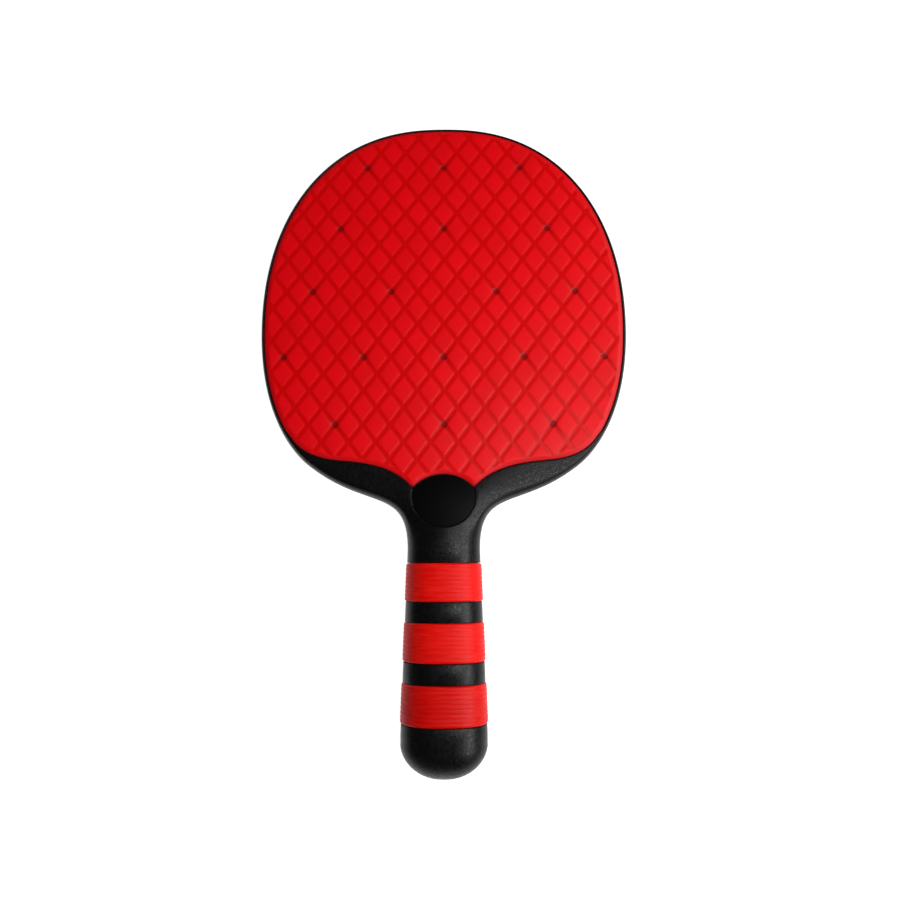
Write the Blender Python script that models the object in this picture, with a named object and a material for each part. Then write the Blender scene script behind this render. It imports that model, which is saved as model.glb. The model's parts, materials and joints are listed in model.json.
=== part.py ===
"""Table tennis racket for outdoor play, lying on its rear face.

Two moulded shells meet at the middle plane. Each carries a soft pad with a diamond pattern,
three ribbed bands are stretched round the hollow grip, and a flat badge fills the scoop at the throat.
The racket is drawn flat, with Y running from the butt to the top of the head, X across and Z out of
the front face, and one empty then lays it down on a band and the far edge of its rear pad.
"""
import math

import bmesh
import bpy
from mathutils import Vector
from mathutils.geometry import interpolate_bezier

# Overall outline, in metres from the butt and from the centre line
LENGTH = 0.2644
HALF_BLADE = 0.0753
WIDEST_AT = 0.1770
HEAD_WIDTH_POWER = 2.34
HEAD_LENGTH_POWER = 2.12
NECK_HALF = 0.0141
NECK_AT = 0.0830
NECK_HANDLE = 0.0250
SHOULDER_POINT = (0.0525, 0.1155)
SHOULDER_INNER_HANDLE = (0.0299, 0.0987)
SHOULDER_OUTER_HANDLE = (0.0604, 0.1210)
SIDE_HANDLE = 0.0390
BUTT_HALF = 0.0163
BUTT_DEPTH = 0.0131

# Thicknesses, all measured from the middle plane
PARTING = 0.00015
LAND = 0.0008
RECESS_FLOOR = 0.0022
RIM_HEIGHT = 0.0041
PAD_TOP = 0.0044
GRIP_BUTT_DEPTH = 0.0117
GRIP_NECK_DEPTH = 0.0097
GRIP_POWER = 2.4
CROWN_END = 0.1000

# Blade rim and the swelling where the grip runs out into the blade
RIM_WIDTH = 0.00165
RIM_EDGE_RADIUS = 0.0015
SHOULDER_EDGE_RADIUS = 0.0040
SHOULDER_EDGE_END = 0.1050
RIM_EDGE_START = 0.1400
SWELL_START = 0.0840
SWELL_END = 0.1220
SWELL_NECK_HALF = 0.0150
SWELL_BLADE_HALF = 0.0520

# Pad edge at the throat: a scallop on the centre line, a sweep either side and a rounded corner
SCALLOP_RADIUS = 0.0158
SCALLOP_TOP = 0.11233
SCALLOP_HALF_ANGLE = 49.5
SWEEP_CUSP_HANDLE = (0.0200, 0.1162)
SWEEP_END_HANDLE = (0.0323, 0.1171)
SWEEP_END = (0.0418, 0.1180)
CORNER_START_HANDLE = (0.0504, 0.1188)
CORNER_END_HANDLE = (0.0567, 0.1215)
CORNER_END = (0.0605, 0.1268)
CORNER_TO_RIM = 0.0030

# Pads and their diamond pattern
GAP = 0.0003
PAD_CHAMFER_WIDTH = 0.0019
PAD_CHAMFER_DROP = 0.0006
PAD_BORDER = 0.0022
DIAMOND_WIDTH = 0.01084
DIAMOND_LENGTH = 0.01406
PATTERN_CENTRE = 0.1605
GROOVE_WIDTH = 0.0015
GROOVE_DEPTH = 0.0006
GROOVES_EACH_SIDE = 13
GROOVE_HALF_LENGTH = 0.1200
HOLE_RADIUS = 0.0010
HOLE_ROWS = {6: (-3, 0, 3), 4: (-4, 0, 4), 2: (-5, -2, 2, 5), 0: (-6, -3, 0, 3, 6), -2: (-4, 0, 4)}

# Grip bands
BAND_HEIGHT = 0.0146
BAND_PITCH = 0.0220
LOWEST_BAND = 0.0269
BAND_SEAT = 0.0010
BAND_CREST = 0.00045
BAND_VALLEY = 0.00015
BAND_RIBS = 8

# Throat badge, on a plane that rises gently towards the grip
BADGE_RADIUS = 0.0126
BADGE_CENTRE = 0.1037
BADGE_HEIGHT = 0.0055
BADGE_RISE = math.radians(6.0)
BADGE_THICKNESS = 0.0010
BADGE_POCKET = 0.0013
BADGE_LEDGE = 0.0005
BADGE_CHAMFER = 0.0002
PAD_MARGIN = 0.0010
SCOOP_OVERRUN = 0.0020

# Inside the grip
WALL = 0.0028
WEB_THICKNESS = 0.0016
WEBS = (0.0160, 0.0380, 0.0600, 0.0820)
CAVITY_START = 0.0045
CAVITY_END = 0.0890
POST_RADIUS = 0.0032
PEG_RADIUS = 0.0016
PEG_REACH = 0.0030

# Tongue and groove under the pads, which lines the two halves up along the head
TONGUE_INSET = 0.0016
TONGUE_WIDTH = 0.0008
TONGUE_REACH = 0.0006

# How far a cutter stands clear of what it cuts
CLEAR = 0.0060

# Facets
SMOOTH_ANGLE = math.radians(35.0)
RING_POINTS = 18
CAVITY_POINTS = 12
ROUND_POINTS = 8
HOLE_POINTS = 5
SHELL_RINGS = (0.0004, 0.0015, 0.0036)
SHELL_COLUMNS = (0.0, 0.0045, 0.0098, 0.0170, 0.0260)
SHELL_ROWS = [0.0130, 0.0490] + [0.0840 + 0.0040 * row for row in range(10)]
OUTLINE_STEPS = {"butt": 5, "grip": 4, "neck": 12, "side": 7, "head": 12}
SEAT_STEPS = {"butt": 3, "grip": 2, "neck": 7, "side": 6, "head": 11}
TONGUE_STEPS = {"butt": 3, "grip": 2, "neck": 5, "side": 5, "head": 7}


def clear_scene():
    for obj in list(bpy.data.objects):
        bpy.data.objects.remove(obj, do_unlink=True)


def new_collection(name):
    collection = bpy.data.collections.new(name)
    bpy.context.scene.collection.children.link(collection)
    return collection


def moulded_plastic(name, colour, roughness):
    material = bpy.data.materials.new(name)
    material.use_nodes = True
    shader = material.node_tree.nodes["Principled BSDF"]
    shader.inputs["Base Color"].default_value = (*colour, 1.0)
    shader.inputs["Roughness"].default_value = roughness
    shader.inputs["Metallic"].default_value = 0.0
    return material


def smooth_between(start, end, value):
    """0 before start, 1 after end and a smooth change between them."""
    share = min(max((value - start) / (end - start), 0.0), 1.0)
    return share * share * (3 - 2 * share)


def mix(first, second, share):
    return first + (second - first) * share


def mirrored(right_half):
    """Closes an outline whose right half runs from the centre line to the centre line."""
    left_half = [Vector((-point.x, point.y)) for point in reversed(right_half[1:-1])]
    return right_half + left_half


def inset(outline, distance):
    """Moves each point of an anticlockwise closed outline inwards by a distance, with mitred corners."""
    moved = []
    for index, point in enumerate(outline):
        arriving = (point - outline[index - 1]).normalized()
        leaving = (outline[(index + 1) % len(outline)] - point).normalized()
        inward = Vector((-arriving.y - leaving.y, arriving.x + leaving.x)).normalized()
        slant = inward.dot(Vector((-arriving.y, arriving.x)))
        moved.append(point + inward * (distance / slant))
    return moved


def arc(centre, radius, start, end, steps):
    """Points on a circle, with angles in degrees."""
    angles = [math.radians(mix(start, end, step / steps)) for step in range(steps + 1)]
    return [Vector((centre[0] + radius * math.cos(a), centre[1] + radius * math.sin(a))) for a in angles]


def curve_between(knot_a, handle_a, handle_b, knot_b, steps):
    corners = [Vector(corner) for corner in (knot_a, handle_a, handle_b, knot_b)]
    points = interpolate_bezier(*corners, steps + 1)
    return [Vector((point.x, point.y)) for point in points]


def racket_half(steps):
    """Right half of the racket's outline, from the butt to the top of the head."""
    butt = []
    for step in range(steps["butt"] + 1):
        angle = math.radians(90) * step / steps["butt"]
        butt.append(Vector((BUTT_HALF * math.sin(angle), BUTT_DEPTH * (1 - math.cos(angle)))))
    grip = []
    for step in range(1, steps["grip"]):
        share = step / steps["grip"]
        grip.append(Vector((mix(BUTT_HALF, NECK_HALF, share), mix(BUTT_DEPTH, NECK_AT, share))))
    neck_knots = ((NECK_HALF, NECK_AT), (NECK_HALF, NECK_AT + NECK_HANDLE))
    neck = curve_between(*neck_knots, SHOULDER_INNER_HANDLE, SHOULDER_POINT, steps["neck"])
    side_knots = ((HALF_BLADE, WIDEST_AT - SIDE_HANDLE), (HALF_BLADE, WIDEST_AT))
    side = curve_between(SHOULDER_POINT, SHOULDER_OUTER_HANDLE, *side_knots, steps["side"])
    head = []
    for step in range(1, steps["head"] + 1):
        angle = math.radians(90) * step / steps["head"]
        across = HALF_BLADE * max(math.cos(angle), 0.0) ** (2 / HEAD_WIDTH_POWER)
        along = WIDEST_AT + (LENGTH - WIDEST_AT) * math.sin(angle) ** (2 / HEAD_LENGTH_POWER)
        head.append(Vector((across, along)))
    head[-1].x = 0.0
    return butt + grip + neck + side[1:] + head


def recess_half(steps):
    """Right half of the pad's seat: the throat's scallop, sweep and corner, then the inside of the rim."""
    scallop_centre = (0.0, SCALLOP_TOP - SCALLOP_RADIUS)
    scallop = arc(scallop_centre, SCALLOP_RADIUS, 90, 90 - SCALLOP_HALF_ANGLE, 4)
    sweep = curve_between(scallop[-1], SWEEP_CUSP_HANDLE, SWEEP_END_HANDLE, SWEEP_END, 5)
    corner = curve_between(SWEEP_END, CORNER_START_HANDLE, CORNER_END_HANDLE, CORNER_END, 4)
    rim = inset(mirrored(racket_half(steps)), RIM_WIDTH)
    top = max(range(len(rim)), key=lambda index: rim[index].y)
    side = [point for point in rim[: top + 1] if point.y > corner[-1].y + CORNER_TO_RIM]
    return scallop + sweep[1:] + corner[1:] + side


OUTLINE_HALF = racket_half(OUTLINE_STEPS)


def outline_half_width(y):
    """Half the racket's width at a distance from the butt."""
    for lower, upper in zip(OUTLINE_HALF, OUTLINE_HALF[1:]):
        if lower.y <= y <= upper.y:
            return mix(lower.x, upper.x, (y - lower.y) / (upper.y - lower.y))
    return 0.0


def grip_size(y):
    """Half width and half thickness of the grip at a distance from the butt."""
    rounding = math.sqrt(max(1 - max((BUTT_DEPTH - y) / BUTT_DEPTH, 0.0) ** 2, 0.0))
    along = max(y - BUTT_DEPTH, 0.0) / (NECK_AT - BUTT_DEPTH)
    width = mix(BUTT_HALF, NECK_HALF, min(along, 1.0))
    depth = mix(GRIP_BUTT_DEPTH, GRIP_NECK_DEPTH, min(along, 1.0))
    return width * rounding, depth * rounding


def surface_height(x, y, from_edge):
    """Height of the moulded skin over the middle plane, before anything is cut into it."""
    ridge = mix(grip_size(y)[1], RIM_HEIGHT, smooth_between(SWELL_START, SWELL_END, y))
    across = min(abs(x) / max(outline_half_width(y), 1e-6), 1.0)
    crown = ridge * (1 - across**GRIP_POWER) ** (1 / GRIP_POWER)
    swell_half = mix(SWELL_NECK_HALF, SWELL_BLADE_HALF, smooth_between(SWELL_START, SWELL_END, y))
    swell = mix(ridge, RIM_HEIGHT, smooth_between(0.0, swell_half, abs(x)))
    slimmer = smooth_between(SHOULDER_EDGE_END, RIM_EDGE_START, y)
    edge_radius = mix(SHOULDER_EDGE_RADIUS, RIM_EDGE_RADIUS, slimmer)
    rounding = math.sqrt(1 - (1 - min(from_edge / edge_radius, 1.0)) ** 2)
    blade = mix(crown, swell * rounding, smooth_between(SWELL_START, CROWN_END, y))
    return max(LAND, blade)


def finish_mesh(name, mesh_builder):
    mesh = bpy.data.meshes.new(name)
    mesh_builder.to_mesh(mesh)
    mesh_builder.free()
    mesh.shade_smooth()
    mesh.set_sharp_from_angle(angle=SMOOTH_ANGLE)
    return bpy.data.objects.new(name, mesh)


def slab(name, outline, bottom, top, chamfer_width=0.0, chamfer_drop=0.0):
    """A flat piece of one outline, with an optional chamfer round its upper edge."""
    builder = bmesh.new()
    base = builder.faces.new([builder.verts.new((point.x, point.y, bottom)) for point in outline])
    raised = bmesh.ops.extrude_face_region(builder, geom=[base])["geom"]
    upper = [item for item in raised if isinstance(item, bmesh.types.BMVert)]
    for vert in upper:
        vert.co.z = top - chamfer_drop
    if chamfer_width:
        face = next(item for item in raised if isinstance(item, bmesh.types.BMFace))
        bmesh.ops.inset_region(builder, faces=[face], thickness=chamfer_width, use_even_offset=True)
        for vert in face.verts:
            vert.co.z = top
    bmesh.ops.recalc_face_normals(builder, faces=builder.faces)
    return finish_mesh(name, builder)


def ring_slab(name, outer, inner, bottom, top):
    """A flat frame between two outlines that have the same number of points."""
    levels = ((outer, bottom), (outer, top), (inner, top), (inner, bottom))
    rings = [[Vector((point.x, point.y, z)) for point in outline] for outline, z in levels]
    return loft(name, rings, closed=True)


def loft(name, rings, closed=False):
    """Joins rings of points in order; a closed loft runs back to its first ring, an open one is capped."""
    builder = bmesh.new()
    placed = [[builder.verts.new(point) for point in ring] for ring in rings]
    count = len(placed[0])
    pairs = list(zip(placed, placed[1:]))
    if closed:
        pairs.append((placed[-1], placed[0]))
    else:
        builder.faces.new(placed[0])
        builder.faces.new(placed[-1])
    for first, second in pairs:
        for index in range(count):
            after = (index + 1) % count
            builder.faces.new((first[index], first[after], second[after], second[index]))
    bmesh.ops.recalc_face_normals(builder, faces=builder.faces)
    return finish_mesh(name, builder)


def grip_ring(y, offset, count=RING_POINTS):
    """One section of the grip, grown or shrunk by an offset."""
    width, depth = (size + offset for size in grip_size(y))
    ring = []
    for step in range(count):
        angle = 2 * math.pi * (step + 0.5) / count
        across = math.copysign(abs(math.cos(angle)) ** (2 / GRIP_POWER), math.cos(angle))
        up = math.copysign(abs(math.sin(angle)) ** (2 / GRIP_POWER), math.sin(angle))
        ring.append(Vector((width * across, y, depth * up)))
    return ring


def joined(name, pieces):
    """Makes one object of several separate pieces, for cutting with."""
    builder = bmesh.new()
    for piece in pieces:
        builder.from_mesh(piece.data)
        bpy.data.objects.remove(piece, do_unlink=True)
    return finish_mesh(name, builder)


def cylinder(name, radius, bottom, top, x, y, sides=ROUND_POINTS):
    builder = bmesh.new()
    bmesh.ops.create_cone(
        builder, cap_ends=True, segments=sides, radius1=radius, radius2=radius, depth=top - bottom
    )
    bmesh.ops.translate(builder, verts=builder.verts, vec=(x, y, (top + bottom) / 2))
    return finish_mesh(name, builder)


def place(obj, collection, parent, material=None):
    collection.objects.link(obj)
    obj.parent = parent
    if material:
        obj.data.materials.append(material)
    return obj


def hide_cutter(obj, collection, parent):
    place(obj, collection, parent)
    obj.hide_render = True
    obj.display_type = "WIRE"
    return obj


def combine(target, operation, other):
    modifier = target.modifiers.new(other.name, "BOOLEAN")
    modifier.operation = operation
    modifier.object = other


def shell_blank(name):
    """Half a racket, solid and uncut: its flat mating face below and the moulded skin above."""
    builder = bmesh.new()
    ring_depth = builder.verts.layers.float.new("from_edge")
    inner = builder.faces.layers.int.new("inner")
    outline = mirrored(OUTLINE_HALF)
    base = builder.faces.new([builder.verts.new((point.x, point.y, PARTING)) for point in outline])
    raised = bmesh.ops.extrude_face_region(builder, geom=[base])["geom"]
    skin = next(item for item in raised if isinstance(item, bmesh.types.BMFace))
    for vert in skin.verts:
        vert.co.z = LAND
    reached = 0.0
    for from_edge in SHELL_RINGS:
        bmesh.ops.inset_region(builder, faces=[skin], thickness=from_edge - reached, use_even_offset=True)
        reached = from_edge
        for vert in skin.verts:
            vert[ring_depth] = from_edge
    skin[inner] = 1
    cuts = [((0, row, 0), (0, 1, 0), LENGTH) for row in SHELL_ROWS]
    cuts += [((side * column, 0, 0), (1, 0, 0), SWELL_END) for column in SHELL_COLUMNS for side in (-1, 1)]
    for point, normal, reach in cuts:
        faces = [face for face in builder.faces if face[inner] and face.calc_center_median().y < reach]
        geometry = set(faces)
        for face in faces:
            geometry.update(face.edges, face.verts)
        bmesh.ops.bisect_plane(builder, geom=list(geometry), dist=1e-6, plane_co=point, plane_no=normal)
    for vert in builder.verts:
        if vert.co.z > LAND / 2:
            vert.co.z = surface_height(vert.co.x, vert.co.y, vert[ring_depth])
    bmesh.ops.recalc_face_normals(builder, faces=builder.faces)
    return finish_mesh(name, builder)


def band_centres():
    return [LOWEST_BAND + BAND_PITCH * index for index in range(3)]


def band_seats():
    """The three channels that the bands sit in."""
    seats = []
    for centre in band_centres():
        ends = (centre - BAND_HEIGHT / 2, centre + BAND_HEIGHT / 2)
        offsets = ((ends[0], CLEAR), (ends[1], CLEAR), (ends[1], -BAND_SEAT), (ends[0], -BAND_SEAT))
        seats.append(loft("seat", [grip_ring(y, offset) for y, offset in offsets], closed=True))
    return joined("band_seats", seats)


def grip_cavity():
    """The hollow cells of the grip, between its webs."""
    walls = [CAVITY_START, *WEBS, CAVITY_END]
    cells = []
    for index, (lower, upper) in enumerate(zip(walls, walls[1:])):
        start = lower + (WEB_THICKNESS / 2 if index else 0.0)
        end = upper - (WEB_THICKNESS / 2 if index < len(WEBS) else 0.0)
        steps = 4 if index == 0 else 1
        stations = [mix(start, end, step / steps) for step in range(steps + 1)]
        cells.append(loft("cell", [grip_ring(y, -WALL, CAVITY_POINTS) for y in stations]))
    return joined("grip_cavity", cells)


def throat_plane(obj):
    """Tilts a piece that was drawn round its own origin onto the plane of the badge."""
    obj.location = (0.0, BADGE_CENTRE, BADGE_HEIGHT)
    obj.rotation_euler = (-BADGE_RISE, 0.0, 0.0)
    return obj


def badge_half(radius, scallop_radius):
    """Right half of the badge: a circle whose top follows the pad's scallop."""
    scallop_centre = SCALLOP_TOP - SCALLOP_RADIUS - BADGE_CENTRE
    meet_height = (radius**2 - scallop_radius**2 + scallop_centre**2) / (2 * scallop_centre)
    low = math.degrees(math.asin(meet_height / radius))
    high = math.degrees(math.asin((meet_height - scallop_centre) / scallop_radius))
    circle = arc((0.0, 0.0), radius, -90, low, 11)
    scallop = arc((0.0, scallop_centre), scallop_radius, high, 90, 4)
    for point in (circle[0], scallop[-1]):
        point.x = 0.0
    return circle + scallop[1:]


def groove_bars(name, direction):
    """Parallel three-sided bars that cut one family of the diamond pattern's grooves."""
    step = DIAMOND_WIDTH * DIAMOND_LENGTH / math.hypot(DIAMOND_WIDTH, DIAMOND_LENGTH)
    angle = math.atan2(DIAMOND_LENGTH, DIAMOND_WIDTH) * direction
    along = Vector((math.cos(angle), math.sin(angle), 0.0))
    across = Vector((-along.y, along.x, 0.0))
    slope = (GROOVE_WIDTH / 2) / GROOVE_DEPTH
    half_top = GROOVE_WIDTH / 2 + GAP * slope
    bars = []
    for index in range(-GROOVES_EACH_SIDE, GROOVES_EACH_SIDE + 1):
        middle = Vector((0.0, PATTERN_CENTRE, 0.0)) + across * (step * index)
        rings = []
        for end in (-GROOVE_HALF_LENGTH, GROOVE_HALF_LENGTH):
            foot = middle + along * end
            ring = [
                foot + Vector((0.0, 0.0, PAD_TOP - GROOVE_DEPTH)),
                foot + across * half_top + Vector((0.0, 0.0, PAD_TOP + GAP)),
                foot - across * half_top + Vector((0.0, 0.0, PAD_TOP + GAP)),
            ]
            rings.append(ring)
        bars.append(loft("bar", rings))
    return joined(name, bars)


def add_pad(side_name, parts, cutters, side, material):
    """A pad with a chamfered edge, diamond grooves and holes where the shell shows through."""
    edge = inset(mirrored(recess_half(SEAT_STEPS)), GAP)
    bottom = RECESS_FLOOR + GAP
    pad = slab(f"{side_name}_pad", edge, bottom, PAD_TOP, PAD_CHAMFER_WIDTH, PAD_CHAMFER_DROP)
    place(pad, parts, side, material)
    field_edge = inset(edge, PAD_BORDER)
    field = slab(f"{side_name}_pattern_field", field_edge, RECESS_FLOOR + 2 * GAP, 2 * PAD_TOP)
    hide_cutter(field, cutters, side)
    for direction, word in ((1, "rising"), (-1, "falling")):
        bars = hide_cutter(groove_bars(f"{side_name}_{word}_grooves", direction), cutters, side)
        combine(bars, "INTERSECT", field)
        combine(pad, "DIFFERENCE", bars)
    holes = []
    for row, columns in HOLE_ROWS.items():
        for column in columns:
            x, y = column * DIAMOND_WIDTH, PATTERN_CENTRE + row * DIAMOND_LENGTH
            holes.append(cylinder("hole", HOLE_RADIUS, 0.0, 2 * PAD_TOP, x, y, HOLE_POINTS))
    combine(pad, "DIFFERENCE", hide_cutter(joined(f"{side_name}_pad_holes", holes), cutters, side))
    return pad


def joint_features(name, clearance):
    """A tongue under the pad and pegs in the grip or, with a clearance, the spaces that take them."""
    seat = mirrored(recess_half(TONGUE_STEPS))
    outer = inset(seat, TONGUE_INSET - clearance)
    inner = inset(seat, TONGUE_INSET + TONGUE_WIDTH + clearance)
    frame_reach = TONGUE_REACH + clearance
    features = [ring_slab("frame", outer, inner, -frame_reach, frame_reach)]
    radius, reach = PEG_RADIUS + clearance, PEG_REACH + clearance
    features += [cylinder("peg", radius, -reach, reach, 0.0, y) for y in WEBS]
    return joined(name, features)


def add_shell(side_name, parts, cutters, side, material, joint, operation):
    """One shell, with its joint features, band channels, hollow grip, pad seat and scoop."""
    shell = place(shell_blank(f"{side_name}_shell"), parts, side, material)
    combine(shell, operation, hide_cutter(joint, cutters, side))
    bands = band_seats()
    bands.name = f"{side_name}_band_seats"
    combine(shell, "DIFFERENCE", hide_cutter(bands, cutters, side))
    cavity = hide_cutter(grip_cavity(), cutters, side)
    cavity.name = f"{side_name}_grip_cavity"
    post_reach = 2 * GRIP_BUTT_DEPTH
    posts = [cylinder("post", POST_RADIUS, -post_reach, post_reach, 0.0, y) for y in WEBS]
    combine(cavity, "DIFFERENCE", hide_cutter(joined(f"{side_name}_posts", posts), cutters, side))
    combine(shell, "DIFFERENCE", cavity)
    seat = slab(f"{side_name}_pad_seat", mirrored(recess_half(SEAT_STEPS)), RECESS_FLOOR, 4 * PAD_TOP)
    combine(shell, "DIFFERENCE", hide_cutter(seat, cutters, side))
    scoop_edge = mirrored(badge_half(BADGE_RADIUS, SCALLOP_RADIUS + SCOOP_OVERRUN))
    scoop = slab(f"{side_name}_scoop", scoop_edge, 0.0, 2 * CLEAR)
    combine(shell, "DIFFERENCE", hide_cutter(throat_plane(scoop), cutters, side))
    return shell


def add_badge(parts, cutters, side, material, shell):
    pocket_edge = mirrored(badge_half(BADGE_RADIUS - BADGE_LEDGE, SCALLOP_RADIUS - PAD_MARGIN))
    pocket = slab("badge_pocket", pocket_edge, -BADGE_POCKET, CLEAR)
    combine(shell, "DIFFERENCE", hide_cutter(throat_plane(pocket), cutters, side))
    bottom = GAP - BADGE_POCKET
    edge, top = inset(pocket_edge, GAP), bottom + BADGE_THICKNESS
    badge = slab("throat_badge", edge, bottom, top, BADGE_CHAMFER, BADGE_CHAMFER)
    return place(throat_plane(badge), parts, side, material)


def rib_stations(centre):
    """Where a band's valleys and crests fall along the grip, with its height over the grip at each."""
    half = BAND_HEIGHT / 2 - GAP
    stations = []
    for step in range(2 * BAND_RIBS + 1):
        height = BAND_CREST if step % 2 else BAND_VALLEY
        stations.append((centre + half * (step / BAND_RIBS - 1), height))
    return stations


def add_bands(parts, parent, material):
    """Ribbed rings that sit in the channels and hold the two shells together round the grip."""
    for name, centre in zip(("lower", "middle", "upper"), band_centres()):
        stations = rib_stations(centre)
        inside = BAND_SEAT - GAP
        stations = [(stations[0][0], -inside), *stations, (stations[-1][0], -inside)]
        rings = [grip_ring(y, height) for y, height in stations]
        place(loft(f"{name}_grip_band", rings, closed=True), parts, parent, material)


def lay_down(racket):
    """Rests the racket on the rib that stands out most and on the far edge of the rear pad."""
    edge_y = LENGTH - RIM_WIDTH - GAP - PAD_CHAMFER_WIDTH
    rests = []
    for centre in band_centres():
        for y, height in rib_stations(centre):
            depth = grip_size(y)[1] + height
            rests.append((math.atan2(depth - PAD_TOP, edge_y - y), y, depth))
    tilt, rib_y, depth = max(rests)
    lift = depth * math.cos(tilt) + rib_y * math.sin(tilt)
    racket.rotation_euler = (-tilt, 0.0, 0.0)
    racket.location = (0.0, -LENGTH / 2 * math.cos(tilt), lift)


def main():
    clear_scene()
    parts = new_collection("table_tennis_racket")
    cutters = new_collection("cutters")
    black = moulded_plastic("black_moulded_plastic", (0.012, 0.012, 0.013), 0.38)
    red = moulded_plastic("red_soft_elastomer", (0.60, 0.010, 0.014), 0.55)
    matt_black = moulded_plastic("matt_black_plastic", (0.010, 0.010, 0.011), 0.60)
    empties = {}
    for name in ("racket", "front_side", "rear_side"):
        empties[name] = bpy.data.objects.new(name, None)
        parts.objects.link(empties[name])
    front_side, rear_side = empties["front_side"], empties["rear_side"]
    front_side.parent = rear_side.parent = empties["racket"]
    rear_side.rotation_euler = (0.0, math.pi, 0.0)

    tongue_and_pegs = joint_features("tongue_and_pegs", 0.0)
    front = add_shell("front", parts, cutters, front_side, black, tongue_and_pegs, "UNION")
    groove_and_sockets = joint_features("groove_and_sockets", GAP)
    add_shell("rear", parts, cutters, rear_side, black, groove_and_sockets, "DIFFERENCE")
    add_pad("front", parts, cutters, front_side, red)
    add_pad("rear", parts, cutters, rear_side, red)
    add_badge(parts, cutters, front_side, matt_black, front)
    add_bands(parts, empties["racket"], red)
    lay_down(empties["racket"])


main()
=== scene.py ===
"""All-plastic table tennis racket for outdoor play, drawn for a close look on the frame of its CAD part.

Two black shells are moulded in a textured tool and meet at the middle plane. Each carries a soft red pad
with a diamond pattern and small pits, and three ribbed red bands hold the hollow grip together. Every piece
is drawn flat in the racket's own axes (Y from the butt to the top of the head, X across, Z out of the front
face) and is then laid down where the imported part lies.
"""
import json
import math
from collections import namedtuple
from functools import partial

import bmesh
import bpy
from bpy.props import FloatProperty, FloatVectorProperty, IntProperty, PointerProperty
from mathutils import Matrix, Vector
from mathutils.geometry import interpolate_bezier, intersect_point_line
from mathutils.kdtree import KDTree


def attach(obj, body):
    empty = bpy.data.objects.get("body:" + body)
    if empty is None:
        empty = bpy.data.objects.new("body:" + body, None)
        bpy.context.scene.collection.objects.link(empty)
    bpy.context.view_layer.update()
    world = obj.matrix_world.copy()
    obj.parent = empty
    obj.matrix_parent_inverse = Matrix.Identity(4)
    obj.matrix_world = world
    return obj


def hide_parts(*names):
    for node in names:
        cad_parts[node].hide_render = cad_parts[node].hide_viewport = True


bl_info = {
    "name": "Outdoor Table Tennis Racket",
    "version": (1, 0, 0),
    "blender": (4, 5, 0),
    "location": "3D View > Sidebar > Racket",
    "description": "Dresses the CAD frame of an all-plastic table tennis racket with its detailed pieces",
    "category": "Object",
}

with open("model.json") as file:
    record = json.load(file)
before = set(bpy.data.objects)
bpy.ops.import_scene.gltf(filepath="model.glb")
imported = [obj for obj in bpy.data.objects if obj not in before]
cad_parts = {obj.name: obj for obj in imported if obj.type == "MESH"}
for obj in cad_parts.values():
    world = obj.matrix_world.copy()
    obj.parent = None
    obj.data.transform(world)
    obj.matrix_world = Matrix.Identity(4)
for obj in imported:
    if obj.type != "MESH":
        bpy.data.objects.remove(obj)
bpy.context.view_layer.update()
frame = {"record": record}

# Outline of the racket, in metres from the butt and from the centre line
LENGTH = 0.2644
HALF_BLADE = 0.0753
WIDEST_AT = 0.1770
HEAD_WIDTH_POWER = 2.34
HEAD_LENGTH_POWER = 2.12
NECK_HALF = 0.0141
NECK_AT = 0.0830
NECK_HANDLE = 0.0250
SHOULDER_POINT = (0.0525, 0.1155)
SHOULDER_INNER_HANDLE = (0.0299, 0.0987)
SHOULDER_OUTER_HANDLE = (0.0604, 0.1210)
SIDE_HANDLE = 0.0390
BUTT_HALF = 0.0163
BUTT_DEPTH = 0.0131

# Thicknesses, all measured from the middle plane
PARTING = 0.00015
LAND = 0.0008
RECESS_FLOOR = 0.0022
RIM_HEIGHT = 0.0041
PAD_TOP = 0.0044
GRIP_BUTT_DEPTH = 0.0117
GRIP_NECK_DEPTH = 0.0097
GRIP_POWER = 2.4
CROWN_END = 0.1000

# Blade rim and the swelling where the grip runs out into the blade
RIM_WIDTH = 0.00165
RIM_EDGE_RADIUS = 0.0015
SHOULDER_EDGE_RADIUS = 0.0026
SHOULDER_EDGE_END = 0.1050
RIM_EDGE_START = 0.1400
SWELL_START = 0.0840
SWELL_END = 0.1220
SWELL_NECK_HALF = 0.0150
SWELL_BLADE_HALF = 0.0520

# Pad edge at the throat: a scallop on the centre line, a sweep either side and a rounded corner
SCALLOP_RADIUS = 0.0158
SCALLOP_TOP = 0.11233
SCALLOP_HALF_ANGLE = 49.5
SWEEP_CUSP_HANDLE = (0.0200, 0.1162)
SWEEP_END_HANDLE = (0.0323, 0.1171)
SWEEP_END = (0.0418, 0.1180)
CORNER_START_HANDLE = (0.0504, 0.1188)
CORNER_END_HANDLE = (0.0567, 0.1215)
CORNER_END = (0.0605, 0.1268)
RIM_STARTS_AT = 0.1290
GAP = 0.0003
SEAM = 0.00012
PAD_EDGE_RADIUS = 0.00025

# Diamond pattern of the pads
DIAMOND_WIDTH = 0.01084
DIAMOND_LENGTH = 0.01406
PATTERN_CENTRE = 0.1605
PATTERN_LINES = 10
PIT_ROWS = {6: (-3, 0, 3), 4: (-4, 0, 4), 2: (-5, -2, 2, 5), 0: (-6, -3, 0, 3, 6), -2: (-4, 0, 4)}

# Where grooves begin behind the pad's edge, and the sections of grooves and pits as shares of half their width
GROOVE_BEGINS = 0.0009
GROOVE_IS_FULL = 0.0022
GROOVE_FLOOR = 0.3
GROOVE_SHOULDER = 1.6
PIT_FLOOR = 0.35
PIT_SHOULDER = 1.1

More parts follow.
